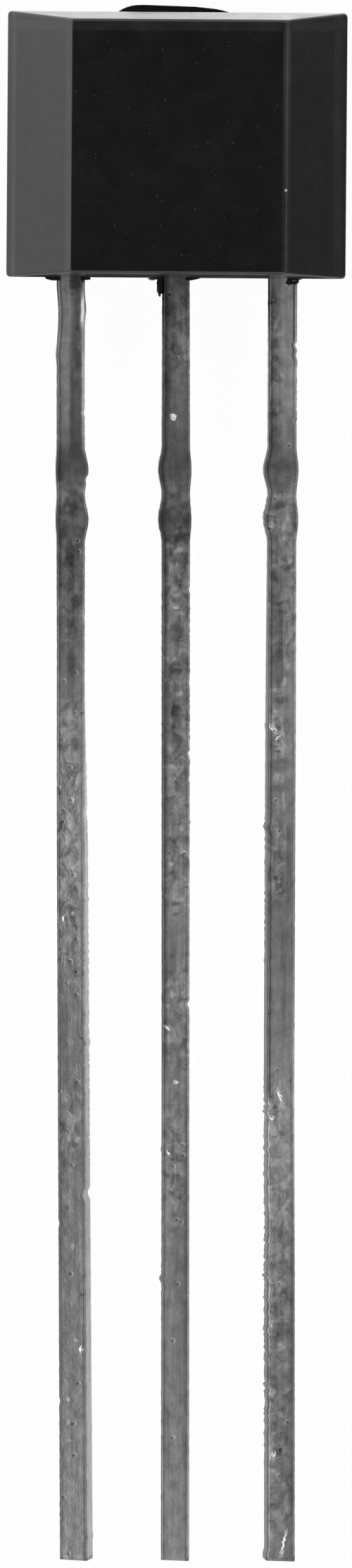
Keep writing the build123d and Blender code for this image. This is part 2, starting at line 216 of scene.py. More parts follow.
# Sides are -1 for the left and 1 for the right, and places count from the body towards the tip.
# row: place in the row of leads. top: width where the lead leaves the body. longer: added length.
# seed: moves the noise and the patterns.
# roots: what is left of the tie bar on the left and right. inside: left, right, start and end of
# the widened end in the body. bends: place, lean to the right and twist. rolls: side, start, end,
# width and drop of a rolled-over front edge. nicks: place, side, depth (outwards if negative) and
# half length. burrs: side, start, end and height of a torn stretch of edge. sides: lightness of
# the left and right long edge, a painted shade where its rounding would catch the light. tones:
# place and the plate's grey. Then the strips of tone and reflection: middle, half width, start,
# end and lightness of a long stretch, some the plate's own lighter or darker tone, the bright ones
# beside a rolled or twisted edge a painted reflection, the thin dark ones along an edge a painted
# shade. spots: x, place, half width, half length, turn and lightness of a dark pit or blotch, or of
# a burnished spot, whose lighter colour is a painted glint. rough: start, end, left and right edge
# of a scuffed stretch.
leads = {
    "supplyLead": {
        "node": "supply_lead", "row": -1, "top": 0.330, "roots": (0.012, 0.045),
        "longer": 0.010, "seed": 11.0, "inside": (-0.43, 0.20, 1.25, 2.03),
        "bends": [(0.0, 0.010, 0.0), (3.3, 0.010, 0.0), (5.0, 0.012, 2.0), (6.8, 0.032, 9.5),
                  (15.47, 0.083, 14.0)],
        "rolls": [(1, 0.14, 0.66, 0.075, 0.036), (1, 0.6, 2.2, 0.030, 0.012)],
        "nicks": [(0.46, -1, 0.021, 0.40), (0.93, -1, -0.010, 0.14), (0.38, 1, -0.018, 0.22),
                  (1.62, 1, 0.012, 0.05), (2.42, 1, 0.022, 0.07), (6.45, 1, 0.014, 0.10),
                  (7.50, 1, -0.012, 0.03), (9.22, 1, -0.014, 0.05), (11.05, 1, 0.030, 0.09),
                  (11.40, -1, 0.012, 0.05), (13.55, -1, 0.010, 0.06), (15.2, 1, -0.010, 0.06)],
        "burrs": [(1, 0.9, 2.4, 0.007), (1, 5.7, 10.9, 0.012), (-1, 13.5, 15.2, 0.006)],
        "sides": (0.42, 0.95),
        "tones": [(0.4, "#bcbcbc"), (1.7, "#a9a9a9"), (2.3, "#757575"), (2.6, "#aaaaaa"),
                  (2.9, "#848484"), (3.9, "#a4a4a4"), (5.2, "#bebebe"), (8.0, "#aaaaaa"),
                  (10.3, "#9a9a9a"), (15.0, "#a0a0a0")],
        "toneAndReflectionStrips": [(-0.10, 0.08, -0.2, 2.1, 1.20), (0.055, 0.06, -0.2, 2.1, 0.60),
                   (0.145, 0.045, 0.26, 0.55, 2.6), (0.155, 0.020, 0.9, 2.1, 1.5),
                   (0.145, 0.03, 6.8, 15.6, 1.12),
                   (0.0, 0.04, 3.3, 5.1, 0.68), (-0.06, 0.03, 8.6, 9.7, 0.80)],
        "spots": [(0.05, 0.05, 0.10, 0.13, 0, 0.40), (0.08, 0.98, 0.045, 0.16, 0, 0.70),
                  (0.07, 0.60, 0.03, 0.05, 20, 0.70), (0.03, 2.70, 0.08, 0.16, 10, 0.72),
                  (-0.02, 3.3, 0.06, 0.20, 0, 0.72), (0.06, 4.05, 0.05, 0.3, 0, 0.75),
                  (0.0, 4.62, 0.07, 0.14, 0, 0.78), (-0.05, 2.78, 0.04, 0.03, 60, 1.6),
                  (-0.03, 4.36, 0.05, 0.02, 0, 1.5), (0.0, 5.85, 0.02, 0.03, 0, 0.55),
                  (-0.07, 7.71, 0.04, 0.03, 90, 1.9), (0.03, 7.66, 0.03, 0.02, 60, 1.8),
                  (0.06, 7.82, 0.02, 0.05, 0, 0.6), (-0.05, 8.14, 0.03, 0.03, 0, 0.6),
                  (0.08, 10.39, 0.04, 0.05, 20, 1.4), (-0.05, 11.2, 0.04, 0.03, 0, 0.7),
                  (0.02, 11.67, 0.03, 0.05, 0, 1.4), (0.05, 12.80, 0.03, 0.03, 0, 1.8),
                  (0.11, 12.91, 0.02, 0.04, 0, 2.2), (-0.06, 13.52, 0.03, 0.03, 0, 1.8),
                  (-0.05, 13.80, 0.03, 0.03, 0, 1.6), (-0.04, 14.02, 0.04, 0.02, 0, 1.5)],
        "rough": [(2.3, 4.4, -0.17, 0.17), (5.0, 8.5, -0.17, 0.12), (9.8, 10.7, -0.17, 0.12)],
    },
    "groundLead": {
        "node": "ground_lead", "row": 0, "top": 0.320, "roots": (0.043, 0.018),
        "longer": 0.018, "seed": 23.0, "inside": (-0.72, 0.72, 0.95, 2.74),
        "bends": [(0.0, 0.006, 0.0), (3.3, 0.006, 0.0), (15.47, 0.008, 3.5)],
        "rolls": [],
        "nicks": [(3.75, 1, 0.010, 0.05), (4.85, 1, 0.008, 0.08), (5.72, 1, 0.018, 0.05),
                  (6.03, 1, 0.016, 0.03), (6.55, 1, -0.012, 0.03), (8.76, 1, 0.026, 0.06),
                  (10.50, -1, -0.010, 0.03), (12.07, -1, -0.022, 0.05)],
        "burrs": [(1, 3.2, 6.2, 0.009), (-1, 2.4, 6.0, 0.006), (1, 8.2, 9.6, 0.006),
                  (-1, 11.6, 12.6, 0.008)],
        "sides": (0.45, 0.72),
        "tones": [(0.4, "#8b8b8b"), (1.4, "#9e9e9e"), (2.3, "#848484"), (2.6, "#a4a4a4"),
                  (2.9, "#777777"), (3.3, "#a6a6a6"), (4.2, "#bababa"), (5.1, "#b8b8b8"),
                  (7.0, "#cbcbcb"), (10.3, "#b8b8b8"), (15.0, "#cccccc")],
        "toneAndReflectionStrips": [(-0.13, 0.035, -0.2, 9.5, 0.66), (0.09, 0.08, 0.3, 2.1, 1.2),
                   (0.0, 0.045, 5.0, 5.65, 0.70), (0.0, 0.045, 6.5, 7.3, 0.68),
                   (-0.03, 0.04, 8.0, 8.5, 0.75), (0.12, 0.02, 9.0, 15.0, 0.85)],
        "spots": [(-0.035, 1.67, 0.036, 0.036, 0, 3.0), (-0.06, 0.45, 0.07, 0.22, 0, 0.78),
                  (-0.09, 1.3, 0.04, 0.45, 0, 0.70), (0.10, 0.75, 0.05, 0.18, 0, 1.3),
                  (-0.04, 3.14, 0.10, 0.08, 0, 0.6), (-0.11, 3.25, 0.03, 0.12, 0, 1.5),
                  (0.02, 3.28, 0.085, 0.035, 28, 1.8), (0.11, 3.42, 0.03, 0.10, 0, 0.6),
                  (0.02, 3.50, 0.03, 0.12, 15, 1.5), (0.0, 3.78, 0.07, 0.08, -50, 1.35),
                  (0.01, 3.95, 0.05, 0.04, 15, 1.9), (0.06, 4.03, 0.06, 0.03, -15, 1.5),
                  (0.0, 4.25, 0.12, 0.12, 0, 0.75), (-0.12, 4.58, 0.04, 0.04, 0, 1.5),
                  (-0.015, 4.59, 0.04, 0.03, 20, 1.6), (-0.06, 4.75, 0.06, 0.10, 0, 0.65),
                  (0.03, 4.68, 0.06, 0.025, 2, 1.7), (0.04, 5.00, 0.06, 0.04, -5, 1.5),
                  (0.09, 5.3, 0.03, 0.16, 0, 1.35), (-0.03, 5.3, 0.07, 0.16, 0, 0.75),
                  (-0.08, 5.66, 0.07, 0.03, -35, 1.5), (-0.02, 5.88, 0.13, 0.03, 0, 1.4),
                  (-0.03, 6.02, 0.034, 0.036, 0, 2.2), (0.02, 6.12, 0.05, 0.08, 0, 0.6),
                  (0.07, 6.62, 0.03, 0.05, 0, 1.4), (-0.06, 7.05, 0.05, 0.03, 0, 1.4),
                  (0.0, 7.54, 0.06, 0.03, 0, 0.6), (0.0, 7.66, 0.06, 0.02, 0, 0.6),
                  (-0.04, 8.63, 0.035, 0.04, 0, 1.6), (-0.10, 9.03, 0.06, 0.015, -35, 1.9),
                  (0.01, 9.69, 0.03, 0.025, 0, 2.2), (-0.08, 10.54, 0.02, 0.035, 0, 1.9),
                  (-0.03, 10.62, 0.03, 0.02, 0, 0.6)],
        "rough": [(0.1, 1.2, -0.17, 0.17), (2.3, 7.6, -0.12, 0.17), (8.2, 9.5, -0.14, 0.17),
                  (9.9, 11.5, -0.14, 0.12)],
    },
    "outputLead": {
        "node": "output_lead", "row": 1, "top": 0.340, "roots": (0.052, 0.025),
        "longer": 0.030, "seed": 37.0, "inside": (-0.20, 0.43, 1.25, 2.03),
        "bends": [(0.0, 0.022, 0.0), (3.3, 0.012, -1.5), (5.1, 0.004, -4.0), (9.9, -0.012, -4.5),
                  (12.0, -0.004, -5.0), (15.47, 0.0, -5.0)],
        "rolls": [(-1, 9.8, 16.0, 0.045, 0.014)],
        "nicks": [(0.81, 1, 0.024, 0.05), (0.93, 1, 0.018, 0.03), (1.02, 1, -0.010, 0.04),
                  (5.40, -1, -0.010, 0.04), (6.62, -1, -0.024, 0.06), (7.05, -1, -0.012, 0.03),
                  (8.25, -1, -0.010, 0.03), (11.4, -1, 0.010, 0.20), (12.05, -1, -0.030, 0.035),
                  (12.70, -1, -0.022, 0.05), (13.6, -1, 0.010, 0.10), (15.45, -1, -0.02, 0.10)],
        "burrs": [(1, 0.7, 2.0, 0.008), (-1, 2.4, 3.2, 0.012), (-1, 6.2, 8.3, 0.012),
                  (-1, 9.6, 14.4, 0.024)],
        "sides": (0.38, 0.72),
        "tones": [(0.4, "#d2d2d2"), (1.4, "#cacaca"), (2.3, "#989898"), (2.6, "#b5b5b5"),
                  (2.9, "#bebebe"), (3.9, "#bcbcbc"), (5.2, "#cecece"), (7.7, "#bababa"),
                  (10.3, "#d2d2d2"), (12.8, "#aeaeae"), (15.2, "#bebebe")],
        "toneAndReflectionStrips": [(-0.10, 0.08, -0.2, 2.1, 0.72), (0.08, 0.06, -0.2, 2.1, 1.12),
                   (-0.145, 0.035, 9.9, 15.6, 1.5),
                   (0.125, 0.014, -0.1, 1.0, 0.5), (-0.08, 0.07, 3.5, 4.92, 0.72),
                   (-0.01, 0.01, 4.1, 4.9, 0.7), (0.085, 0.03, 6.6, 7.6, 0.70),
                   (0.03, 0.03, 7.9, 9.2, 0.8), (0.13, 0.02, 9.5, 15.0, 0.85)],
        "spots": [(-0.10, 0.20, 0.04, 0.16, 0, 0.75), (-0.09, 0.78, 0.05, 0.08, 0, 0.62),
                  (-0.09, 0.97, 0.05, 0.05, 0, 0.62), (0.03, 0.05, 0.02, 0.05, 0, 1.5),
                  (-0.11, 1.62, 0.03, 0.07, 0, 0.6), (0.0, 2.25, 0.10, 0.09, 0, 0.78),
                  (-0.03, 2.74, 0.10, 0.05, 20, 0.62), (0.06, 2.85, 0.03, 0.10, 10, 1.3),
                  (-0.01, 3.35, 0.09, 0.08, 0, 0.75), (0.09, 3.30, 0.05, 0.14, 0, 1.3),
                  (0.0, 2.62, 0.16, 0.035, 0, 1.35), (-0.10, 2.97, 0.03, 0.06, 25, 1.7),
                  (0.02, 3.0, 0.02, 0.06, -20, 1.4), (0.10, 3.41, 0.03, 0.04, 0, 1.5),
                  (0.05, 4.62, 0.025, 0.12, 8, 1.5), (0.03, 4.86, 0.025, 0.08, -25, 1.4),
                  (-0.08, 4.96, 0.09, 0.03, 0, 1.45), (-0.01, 5.08, 0.09, 0.05, 0, 0.7),
                  (-0.09, 5.25, 0.03, 0.07, -20, 1.6), (-0.02, 5.30, 0.03, 0.05, 30, 1.5),
                  (-0.11, 5.42, 0.025, 0.08, 35, 1.9), (-0.05, 5.40, 0.025, 0.07, 30, 0.5),
                  (-0.07, 5.52, 0.06, 0.03, 35, 1.9), (0.06, 5.40, 0.05, 0.12, 0, 0.75),
                  (-0.08, 5.60, 0.07, 0.02, -20, 1.6), (-0.02, 5.66, 0.07, 0.025, 30, 1.7),
                  (-0.06, 5.70, 0.05, 0.02, 0, 0.55), (-0.02, 5.85, 0.13, 0.10, 0, 0.78),
                  (-0.07, 6.01, 0.05, 0.06, 0, 1.6), (0.01, 6.03, 0.03, 0.06, 0, 1.5),
                  (-0.02, 6.15, 0.13, 0.05, 0, 0.8),
                  (0.02, 6.30, 0.014, 0.14, 0, 1.6), (-0.05, 7.27, 0.05, 0.02, 0, 1.7),
                  (-0.03, 7.38, 0.05, 0.02, 30, 1.7), (-0.08, 7.22, 0.03, 0.03, 0, 0.6),
                  (-0.01, 9.86, 0.015, 0.12, 18, 2.6), (-0.07, 10.00, 0.04, 0.03, 0, 0.5),
                  (-0.11, 10.12, 0.03, 0.03, 0, 2.0), (-0.10, 10.28, 0.04, 0.06, 0, 1.5),
                  (-0.02, 12.86, 0.03, 0.04, 0, 1.5), (-0.10, 14.20, 0.03, 0.07, -25, 1.9),
                  (-0.02, 14.14, 0.02, 0.03, 0, 0.4), (0.03, 15.28, 0.018, 0.18, -12, 2.8)],
        "rough": [(2.6, 4.6, -0.17, 0.17), (4.9, 5.8, -0.17, 0.05), (6.4, 7.5, -0.17, 0.05),
                  (9.7, 15.2, -0.17, 0.12), (0.1, 1.9, -0.17, 0.0)],
    },
}


def bump(distance, reach):
    # 1 at the middle, falling smoothly to 0 at reach
    share = min(1.0, abs(distance) / reach)
    return (1 - share * share) ** 2


def fadeIn(distance, reach):
    # 0 at and before the start, rising evenly to 1 at reach
    return max(0.0, min(1.0, distance / reach))


def rootSwell(y):
    # how much of a root's full width stands out at y: two swells with a neck between
    place = (y + leadShape["barDistance"]) / leadShape["rootLength"]
    return math.sin(math.pi * abs(place)) ** 2 if abs(place) < 1 else 0.0


def stemSide(lead, y, side):
    # distance from the middle of the stem or of its widened end to one side, inside the body
    left, right, start, end = lead["inside"]
    if y < start:
        notchPlace, notchRadius = leadShape["notch"]
        bite = max(0.0, notchRadius ** 2 - (y - notchPlace) ** 2) ** 0.5
        return lead["top"] / 2 - bite
    corner = leadShape["padCorner"]
    gap = max(0.0, corner - min(y - start, end - y))
    return side * (right if side > 0 else left) - corner + (corner ** 2 - gap ** 2) ** 0.5


def edgeNoise(lead, y, side, kind):
    # coarse and fine teeth, unlike on each lead and side
    coarse, fine, fineShare = leadShape[kind + "Noise"]
    coarseStep, fineStep, shift = leadShape[kind + "Place"]
    seed = lead["seed"] + shift
    return (noise.noise(Vector((y / coarse, side * coarseStep, seed)))
            + fineShare * noise.noise(Vector((y / fine, side * fineStep, seed))))


def leadSide(lead, y, side):
    # the same at any place, with the roots of the tie bar, the nicks and the uneven edge outside
    if y > leadShape["anchor"]:
        return stemSide(lead, y, side)
    half = device["leadWidth"] / 2
    straight = leadShape["barDistance"] - leadShape["rootLength"]
    narrowing = fadeIn(y + straight, leadShape["anchor"] + straight)
    half += (lead["top"] / 2 - half) * narrowing
    half += rootSwell(y) * lead["roots"][(side + 1) // 2]
    uneven = edgeNoise(lead, y, side, "ragged")
    half += leadShape["ragged"] * uneven * fadeIn(-y, leadShape["raggedFade"])
    torn = edgeNoise(lead, y, side, "torn")
    for burrSide, start, end, height in lead["burrs"]:
        if burrSide == side:
            half += height * torn * fadeIn(min(-y - start, end + y), leadShape["burrFade"])
    for place, nickSide, depth, reach in lead["nicks"]:
        if nickSide == side:
            half -= depth * bump(y + place, reach)
    return half


def faceUnevenness(lead, x, y, z):
    (coarseX, coarseY), (fineX, fineY), fineShare = leadShape["wavyNoise"]
    wave = noise.noise(Vector((x / coarseX, y / coarseY, lead["seed"] + z)))
    wave += fineShare * noise.noise(Vector((x / fineX, y / fineY, lead["seed"] + z)))
    return leadShape["wavy"] * (1 + wave) * fadeIn(-y, leadShape["wavyFade"])


def rolledDrop(lead, x, y, sides):
    # how far the rolled-over edges pull the front down
    drop = 0.0
    for side, start, end, width, deep in lead["rolls"]:
        near = max(0.0, (side * x - sides[(side + 1) // 2] + width) / width)
        run = fadeIn(min(-y - start, end + y), leadShape["rollFade"])
        drop += deep * near ** leadShape["rollCurve"] * run
    return drop


def leanAndTwist(lead, place):
    for (start, leanA, twistA), (end, leanB, twistB) in zip(lead["bends"], lead["bends"][1:]):
        if start < place:
            share = (place - start) / (end - start)
            found = (leanA + (leanB - leanA) * share, twistA + (twistB - twistA) * share)
    return found if place > lead["bends"][0][0] else lead["bends"][0][1:]


def ringPlaces(lead):
    tip = -device["leadLength"] - lead["longer"]
    _, _, start, end = lead["inside"]
    anchor, corner = leadShape["anchor"], leadShape["padCorner"]
    notchPlace, notchRadius = leadShape["notch"]
    count = round((anchor - tip) / leadShape["ringSpacing"])
    places = [tip + (anchor - tip) * i / count for i in range(count + 1)]
    places += [notchPlace + notchRadius * math.sin(math.radians(angle))
               for angle in range(-90, 91, leadShape["notchAngle"])]
    rounding = [corner * (1 - math.cos(math.radians(a))) for a in leadShape["cornerAngles"]]
    places += [start - leadShape["padStep"], *(start + r for r in rounding)]
    places += [end - r for r in reversed(rounding)]
    return places


def leadBar(places):
    # a straight bar with rounded long edges, one unit long, cut into a ring for each place
    bm = bmesh.new()
    bmesh.ops.create_cube(bm, size=1.0)
    bmesh.ops.scale(bm, verts=bm.verts, vec=(device["leadWidth"], 1.0, device["leadThickness"]))
    longEdges = [e for e in bm.edges if abs(e.verts[0].co.y - e.verts[1].co.y) > 0.5]
    bmesh.ops.bevel(bm, geom=longEdges, offset=leadShape["edgeRadius"], offset_type="OFFSET",
                    segments=leadShape["edgeSteps"], profile=0.5, affect="EDGES", material=-1)
    cuts = [((x, 0, 0), (1, 0, 0)) for x in leadShape["columns"]]
    cuts += [((0, 0, z), (0, 0, 1)) for z in leadShape["sideRows"]]
    for place, direction in cuts:
        bmesh.ops.bisect_plane(bm, geom=bm.verts[:] + bm.edges[:] + bm.faces[:],
                               dist=1e-6, plane_co=place, plane_no=direction)
    longEdges = [e for e in bm.edges if abs(e.verts[0].co.y - e.verts[1].co.y) > 0.5]
    bmesh.ops.subdivide_edges(bm, edges=longEdges, cuts=len(places) - 2, use_grid_fill=True)
    return bm


def makeLead(name, lead, material):
    places = ringPlaces(lead)
    bm = leadBar(places)
    # millimetres on the lead before it bends, with its sides straight
    onLead = bm.verts.layers.float_vector.new("onLead")
    tip = places[0]
    half, thick = device["leadWidth"] / 2, device["leadThickness"]
    flat = half - leadShape["edgeRadius"]
    sides = [(leadSide(lead, y, -1), leadSide(lead, y, 1)) for y in places]
    for v in bm.verts:
        ring = round((v.co.y + 0.5) * (len(places) - 1))
        y, (left, right) = places[ring], sides[ring]
        x, z = v.co.x, v.co.z - thick / 2
        if x < -flat:
            x -= left - half
        elif x > flat:
            x += right - half
        else:
            share = (x + flat) / (2 * flat)
            x = -(left - half + flat) * (1 - share) + (right - half + flat) * share
        front = z > -thick / 2
        if y < 0:
            inward = faceUnevenness(lead, x, y, z)
            z += -inward - rolledDrop(lead, x, y, (left, right)) if front else inward
            toTip = y - tip
            if front and toTip < leadShape["shearReach"]:
                z -= leadShape["shearRoll"] * (1 - toTip / leadShape["shearReach"]) ** 2
            if toTip < leadShape["slantReach"]:
                y += leadShape["shearSlant"] * (half - x) * (1 - toTip / leadShape["slantReach"])
        v[onLead] = (v.co.x, y, z)
        lean, twist = leanAndTwist(lead, -y)
        turn = Matrix.Rotation(-math.radians(twist), 4, "Y")
        middle = Vector((lead["row"] * device["leadPitch"] + lean, y, -thick / 2))
        v.co = fromDevice @ ((middle + turn @ Vector((x, 0, z + thick / 2))) * mm)
    piece = finishPiece(name, bm, material, leadShape["sharpAngle"])
    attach(piece, "root")
    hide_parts(lead["node"])


tinLook = {
    # size of each pattern and the lightness that it swings between
    "bandSize": (0.13, 4.0, 0.2),
    "bandLight": (0.86, 1.16),
    "streakSize": (0.026, 0.9, 0.026),
    "streakLight": (0.90, 1.12),
    "mottleSize": (0.12, 0.20, 0.12),
    "mottleLight": (0.74, 1.28),
    "roughSize": (0.13, 0.16, 0.13),
    "roughLight": (0.48, 1.6),
    "roughFade": (0.06, 0.3),  # of the scuffed stretches, across and along
    "stripFade": (0.35, 0.12),  # share of the half width across, and along
    "grainSize": (0.018, 0.018, 0.018),
    # size of the cells, edge of the dot in one, share of the cells that stays bare, and lightness
    "pitSize": (0.13, 0.13, 0.13),
    "pitEdge": (0.25, 0.12),
    "pitShare": (0.66, 0.70),
    "pitLight": 0.62,
    "speckSize": (0.17, 0.17, 0.17),
    "speckEdge": (0.20, 0.10),
    "speckShare": (0.70, 0.74),
    "speckLight": 1.35,
    "edgeShadeFrom": (0.112, 0.136),  # from the middle out to where the painted shade on the long edges starts and is full
    "sidesMeet": (-0.01, 0.01),  # between which the left side's lightness becomes the right's
    "leftCornerShade": (-0.158, -0.146, 0.45),  # start, end and lightness of a painted shade on the far left corner
    "warpSize": (0.05, 0.05, 0.05),  # of the unevenness of the spots' outlines
    "warp": 0.06,
    "spotEdge": (1.15, 0.55),  # share of a spot's size over which it fades
    "spotDepth": 0.25,
    "burnishedFrom": 1.8,  # lightness from which a spot also shines
    "brightFrom": 2.7,
    "domes": (0.9, 1.5),  # how high a burnished spot and a bright one stand, times the relief
    "domeReach": 1.1,
    "speckShine": 0.4,  # of the small specks, with 1 for a burnished spot
    "speckDome": 0.1,
    "tipCut": (0.05, 0.01, 0.5),  # bare alloy at the sheared tip: start, end and lightness
    "roughness": (0.42, 0.28),  # of the plate, and where it is burnished
    # millimetres that each pattern stands out
    "mottleRelief": 0.004,
    "streakRelief": 0.002,
    "grainRelief": 0.0015,
    "scuffRelief": 0.003,
    "pitRelief": -0.004,
    "glintRelief": 0.008,
}


def tinnedCopper(name, lead):
    # Matte tin plate over stamped copper alloy: dull grey with streaks from the stamping tool,
    # cloudy handling marks, scuffed stretches, small bright burnished spots and dark pits; painted
    # glints on the burnished spots, painted reflections beside the rolled edges and painted shade
    # along the long edges.
    material, tree, shader, _ = newMaterial(name, roughness=0.4, metallic=1.0)
    own = addNode(tree, "Attribute", attribute_name="onLead").outputs["Vector"]
    drift = (lead["seed"], lead["seed"] * 3, 0)
    x, y, _ = addNode(tree, "SeparateXYZ", [own]).outputs

    span = lead["tones"][-1][0]
    ramp = addNode(tree, "ValToRGB", [addNode(tree, "MapRange", [y, 0.0, -span])])
    stops = ramp.color_ramp.elements
    while len(stops) < len(lead["tones"]):
        stops.new(1.0)
    for stop, (place, hexText) in zip(stops, lead["tones"]):
        stop.position = place / span
        stop.color = linearColor(hexText)

    def placed(part):
        return stretched(tree, own, tinLook[part + "Size"], drift)

    def pattern(part, detail, roughness=0.5, distortion=0.0):
        cloud = addNode(tree, "TexNoise", {
            "Vector": placed(part), "Scale": 1.0, "Detail": detail, "Roughness": roughness,
            "Distortion": distortion})
        return addNode(tree, "MapRange", [cloud, *noiseRange, *tinLook[part + "Light"]])

    def patch(left, right, start, end, fades):
        across = softStrip(tree, x, left, right, fades[0])
        along = softStrip(tree, y, -end, -start, fades[1])
        return addNode(tree, "Math", [along, across], operation="MULTIPLY")

    bands, streaks = pattern("band", 1.0), pattern("streak", 2.0)
    mottle, rough = pattern("mottle", 4.0, 0.65), pattern("rough", 4.0, 0.6, 0.8)
    grain = addNode(tree, "TexNoise", {"Vector": placed("grain"), "Scale": 1.0, "Detail": 2.0})
    scuffed = 0.0
    for start, end, left, right in lead["rough"]:
        stretch = patch(left, right, start, end, tinLook["roughFade"])
        scuffed = addNode(tree, "Math", [scuffed, stretch], operation="MAXIMUM")
    scuffs = addNode(tree, "Mix", {"Factor": scuffed, "A": 1.0, "B": rough})
    shades = [bands, streaks, mottle, scuffs]  # the plate's grey is multiplied by all of these

    # long stretches of the plate's own tone, and painted reflections beside rolled edges and
    # painted shade along edges
    for middle, halfWidth, start, end, lift in lead["toneAndReflectionStrips"]:
        fadeAcross, fadeAlong = tinLook["stripFade"]
        stretch = patch(middle - halfWidth, middle + halfWidth, start, end,
                        (fadeAcross * halfWidth, fadeAlong))
        shades.append(addNode(tree, "MapRange", [stretch, 0.0, 1.0, 1.0, lift]))

    pits, specks = (addNode(tree, "TexVoronoi", {"Vector": placed(part), "Scale": 1.0})
                    for part in ("pit", "speck"))
    pit = dotsOf(tree, pits, tinLook["pitEdge"], tinLook["pitShare"])
    speck = dotsOf(tree, specks, tinLook["speckEdge"], tinLook["speckShare"])
    for dots, lift in ((pit, tinLook["pitLight"]), (speck, tinLook["speckLight"])):
        shades.append(addNode(tree, "MapRange", [dots, 0.0, 1.0, 1.0, lift]))

    # painted shade on the long rounded edges, as light on each side as the lead's sides give, and
    # deeper on the far left corner
    fromMiddle = addNode(tree, "Math", [x], operation="ABSOLUTE")
    edgeShadeMask = addNode(tree, "MapRange", [fromMiddle, *tinLook["edgeShadeFrom"]], **softly)
    sideLight = addNode(tree, "MapRange", [x, *tinLook["sidesMeet"], *lead["sides"]])
    shades.append(addNode(tree, "Mix", {"Factor": edgeShadeMask, "A": 1.0, "B": sideLight}))
    shades.append(addNode(tree, "MapRange", [x, *tinLook["leftCornerShade"], 1.0], **softly))

    warp = addNode(tree, "TexNoise", {"Vector": placed("warp"), "Scale": 1.0, "Detail": 2.0})
    centred = addNode(tree, "VectorMath", [warp.outputs["Color"], (0.5, 0.5, 0.5)],
                      operation="SUBTRACT")
    pushed = addNode(tree, "VectorMath", [centred, (tinLook["warp"],) * 3, own],
                     operation="MULTIPLY_ADD")
    shine = addNode(tree, "Math", [speck, tinLook["speckShine"]], operation="MULTIPLY")
    glint = addNode(tree, "Math", [speck, tinLook["speckDome"]], operation="MULTIPLY")
    for spotX, place, halfWidth, halfLength, turn, lift in lead["spots"]:
        local = stretched(tree, pushed, (halfWidth, halfLength, tinLook["spotDepth"]),
                          (spotX, -place, 0), -turn)
        distance = addNode(tree, "VectorMath", [local], operation="LENGTH").outputs["Value"]
        mark = addNode(tree, "MapRange", [distance, *tinLook["spotEdge"]], **softly)
        # a pit or blotch is darker; a burnished spot's lighter colour is a painted glint
        shades.append(addNode(tree, "MapRange", [mark, 0.0, 1.0, 1.0, lift]))
        if lift > tinLook["burnishedFrom"]:
            shine = addNode(tree, "Math", [shine, mark], operation="MAXIMUM")
            high = tinLook["domes"][lift > tinLook["brightFrom"]]
            dome = addNode(tree, "MapRange", [distance, tinLook["domeReach"], 0.0, 0.0, high])
            glint = addNode(tree, "Math", [glint, dome], operation="MAXIMUM")

    cutStart, cutEnd, cutLight = tinLook["tipCut"]
    tip = -device["leadLength"]
    shades.append(addNode(tree, "MapRange", [y, tip + cutStart, tip + cutEnd, 1.0, cutLight]))
    light = 1.0
    for shade in shades:
        light = addNode(tree, "Math", [light, shade], operation="MULTIPLY")
    setInputs(tree, shader, {
        "Base Color": addNode(tree, "VectorMath", {0: ramp, "Scale": light}, operation="SCALE"),
        "Roughness": addNode(tree, "MapRange", [shine, 0.0, 1.0, *tinLook["roughness"]]),
        "Normal": reliefOf(
            tree, (mottle, tinLook["mottleRelief"]), (streaks, tinLook["streakRelief"]),
            (grain, tinLook["grainRelief"]), (scuffs, tinLook["scuffRelief"]),
            (pit, tinLook["pitRelief"]), (glint, tinLook["glintRelief"])),
    })
    return material


for leadName, lead in leads.items():
    makeLead(leadName, lead, tinnedCopper("tinnedCopper_" + leadName, lead))
print("leads done")


# Moulded body.
resinLook = {
    "color": "#131313",
    # shared by the pale grains of filler and the painted highlights
    "fillerAndHighlightColor": "#606060",
    "chipColor": "#c0c0c0",
    "cloudSize": (0.35, 0.35, 0.35),
    "cloudLight": (0.85, 1.15),
    "grainSize": (0.025, 0.025, 0.025),
    "fillerSize": (0.05, 0.05, 0.05),
    "fillerEdge": (0.30, 0.15),  # of the grain in its cell
    "fillerShare": (0.80, 0.86),  # of the cells that stay bare
    "fillerStrength": 0.25,
    # painted highlight lines along the edges: middle across the body, half width, and strength
    # at the gated end and at the lead end
    "paintedEdgeHighlights": [(-1.965, 0.025, 0.16, 0.24), (-1.33, 0.03, 0.12, 0.14),
                    (1.288, 0.040, 0.34, 0.13), (1.93, 0.050, 0.10, 0.12)],
    "edgeHighlightFade": 0.6,  # share of the half width
    "edgeHighlightRun": (0.4, 2.9),  # along the body, between which the strength changes
    "highlightPatchSize": (0.3, 0.6, 0.3),
    "highlightPatchLight": (0.5, 1.2),
    "highlightAbove": (0.0, 0.02),  # only the front half gets the painted highlights
    "topHighlightBand": (2.98, 3.09, 0.10),  # painted highlight: paler foot of the gated end: start, end and strength
    "bandFade": 0.02,
    "roughness": (0.22, 0.30),
    "chip": (1.285, 1.08, 0.76),  # a small pale spot on the right edge of the face
    "chipSize": 0.022,
    # millimetres that each pattern stands out
    "grainRelief": 0.0004,
    "cloudRelief": 0.003,
    "fillerAndHighlightRelief": 0.0005,
    "chipRelief": 0.006,
}


